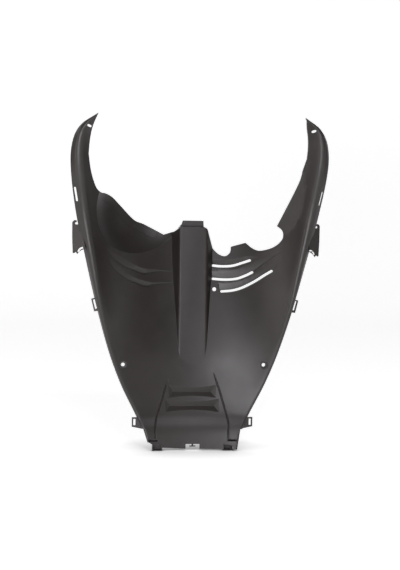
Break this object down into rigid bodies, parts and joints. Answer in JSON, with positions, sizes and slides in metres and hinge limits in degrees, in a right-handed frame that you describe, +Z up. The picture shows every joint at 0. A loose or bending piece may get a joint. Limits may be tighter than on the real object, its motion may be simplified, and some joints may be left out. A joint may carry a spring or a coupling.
{
  "type": "inner mudguard",
  "caption": "Moulded plastic inner mudguard for a scooter: tapered concave panel with two horns, central rib, air louvres, clip eyes and a lower skirt.",
  "frame": {"origin": "midway between the two side screw holes, in the plane of their seats", "axes": "+Z up towards the horns, -Y towards the wheel, +X to the right seen from the wheel"},
  "size_m": [0.3696, 0.1331, 0.49],
  "materials": {
    "mudguard": "fine-grained moulded black polypropylene, low sheen"
  },
  "bodies": {
    "root": {"mudguard": "mudguard"}
  },
  "joints": []
}
